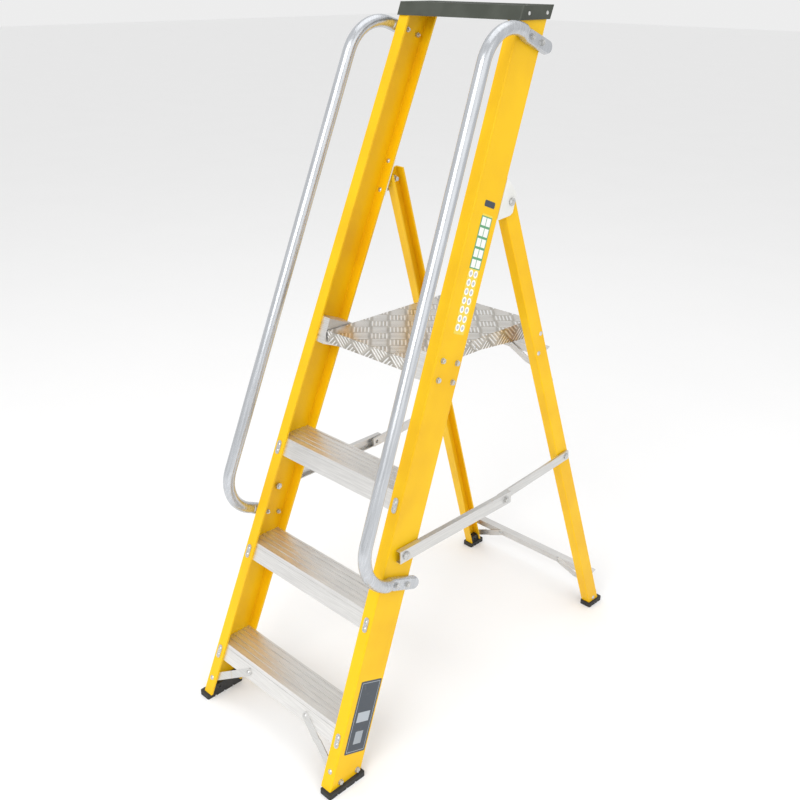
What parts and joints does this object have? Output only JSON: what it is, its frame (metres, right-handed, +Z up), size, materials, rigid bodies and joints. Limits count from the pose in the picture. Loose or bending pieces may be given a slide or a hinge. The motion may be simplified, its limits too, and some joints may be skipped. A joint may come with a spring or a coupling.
{
  "type": "platform step ladder",
  "caption": "Folding platform step ladder with yellow channel stiles, aluminium treads, a standing platform, side handrails, a top tray, folding stays and a hinged rear frame.",
  "frame": {"origin": "on the floor, at the centre of the ladder's footprint, midway between the stiles", "axes": "+X to the climber's right, -Y towards the climber in front of the treads, +Z up"},
  "size_m": [0.4942, 1.045, 1.592],
  "materials": {
    "yellow_frame": "glossy pultruded glass-fibre, warm yellow",
    "tread_aluminium": "mill-finish extruded",
    "deck_aluminium": "raised-bar tread plate",
    "rail_aluminium": "satin drawn tube",
    "bar_aluminium": "satin flat bar",
    "tray_plastic": "moulded, grained",
    "hinge_paint": "white coated",
    "foot_rubber": "moulded",
    "navy_plate": "printed film",
    "printed_label": "printed film",
    "zinc_steel": "zinc plated",
    "zinc_plate": "pressed plate"
  },
  "bodies": {
    "front_frame": {"front_brace_left": "bar_aluminium", "front_brace_right": "bar_aluminium", "front_brace_rivets": "zinc_steel", "front_foot_bolts": "zinc_steel", "front_foot_left": "foot_rubber", "front_foot_right": "foot_rubber", "front_stile_left": "yellow_frame", "front_stile_right": "yellow_frame", "handrail_bolts": "zinc_steel", "handrail_left": "rail_aluminium", "handrail_nuts": "zinc_steel", "handrail_right": "rail_aluminium", "hinge_nuts": "zinc_steel", "hinge_pins": "zinc_steel", "hinge_plate_left": "hinge_paint", "hinge_plate_right": "hinge_paint", "hinge_rivets": "zinc_steel", "hinge_washers": "zinc_steel", "instruction_label": "printed_label", "maker_plate": "navy_plate", "platform_bracket_bolts": "zinc_steel", "platform_bracket_left": "tread_aluminium", "platform_bracket_right": "tread_aluminium", "platform_pivot_pins": "zinc_steel", "small_label": "navy_plate", "stay_stile_nuts": "zinc_steel", "stay_stile_pins": "zinc_steel", "top_tray": "tray_plastic", "tray_screws": "zinc_steel", "tread_1": "tread_aluminium", "tread_2": "tread_aluminium", "tread_3": "tread_aluminium", "tread_rivet_plates": "zinc_plate", "tread_rivets": "zinc_steel"},
    "rear_frame": {"crossbar_rivets": "zinc_steel", "leg_web_rivets": "zinc_steel", "rear_brace_lower_left": "bar_aluminium", "rear_brace_lower_right": "bar_aluminium", "rear_brace_rivets": "zinc_steel", "rear_brace_upper_left": "bar_aluminium", "rear_brace_upper_right": "bar_aluminium", "rear_crossbar_lower": "bar_aluminium", "rear_crossbar_upper": "bar_aluminium", "rear_foot_left": "foot_rubber", "rear_foot_right": "foot_rubber", "rear_foot_rivets": "zinc_steel", "rear_leg_left": "yellow_frame", "rear_leg_right": "yellow_frame", "stay_leg_nuts": "zinc_steel", "stay_leg_pins": "zinc_steel"},
    "platform": {"platform_deck": "deck_aluminium", "platform_side_bolts": "zinc_steel"},
    "stay_front_left": {"stay_front_left": "bar_aluminium", "stay_mid_bolt_left": "zinc_steel"},
    "stay_front_right": {"stay_front_right": "bar_aluminium", "stay_mid_bolt_right": "zinc_steel"},
    "stay_rear_left": {"stay_rear_left": "bar_aluminium"},
    "stay_rear_right": {"stay_rear_right": "bar_aluminium"}
  },
  "joints": [
    {"name": "rear_frame_fold", "type": "hinge", "parent": "front_frame", "child": "rear_frame", "pos_m": [0, 0.0828, 1.20687], "axis": [-1, 0, 0], "range_deg": [0, 38]},
    {"name": "platform_fold", "type": "hinge", "parent": "front_frame", "child": "platform", "pos_m": [0, -0.1365, 0.881], "axis": [1, 0, 0], "range_deg": [0, 67.69]},
    {"name": "stay_front_left_fold", "type": "hinge", "parent": "front_frame", "child": "stay_front_left", "pos_m": [-0.222, -0.2755, 0.509], "axis": [1, 0, 0], "range_deg": [0, 50.45]},
    {"name": "stay_rear_left_fold", "type": "hinge", "parent": "rear_frame", "child": "stay_rear_left", "pos_m": [-0.2125, 0.3175, 0.529], "axis": [-1, 0, 0], "range_deg": [0, 76.37]},
    {"name": "stay_front_right_fold", "type": "hinge", "parent": "front_frame", "child": "stay_front_right", "pos_m": [0.222, -0.2755, 0.509], "axis": [1, 0, 0], "range_deg": [0, 50.45]},
    {"name": "stay_rear_right_fold", "type": "hinge", "parent": "rear_frame", "child": "stay_rear_right", "pos_m": [0.2125, 0.3175, 0.529], "axis": [-1, 0, 0], "range_deg": [0, 76.37]}
  ],
  "couplings": [
    {"joint": "platform_fold", "follows": "rear_frame_fold", "ratio": 1.78},
    {"joint": "stay_front_left_fold", "follows": "rear_frame_fold", "ratio": 1.3264},
    {"joint": "stay_rear_left_fold", "follows": "rear_frame_fold", "ratio": 2.0085},
    {"joint": "stay_front_right_fold", "follows": "rear_frame_fold", "ratio": 1.3264},
    {"joint": "stay_rear_right_fold", "follows": "rear_frame_fold", "ratio": 2.0085}
  ]
}
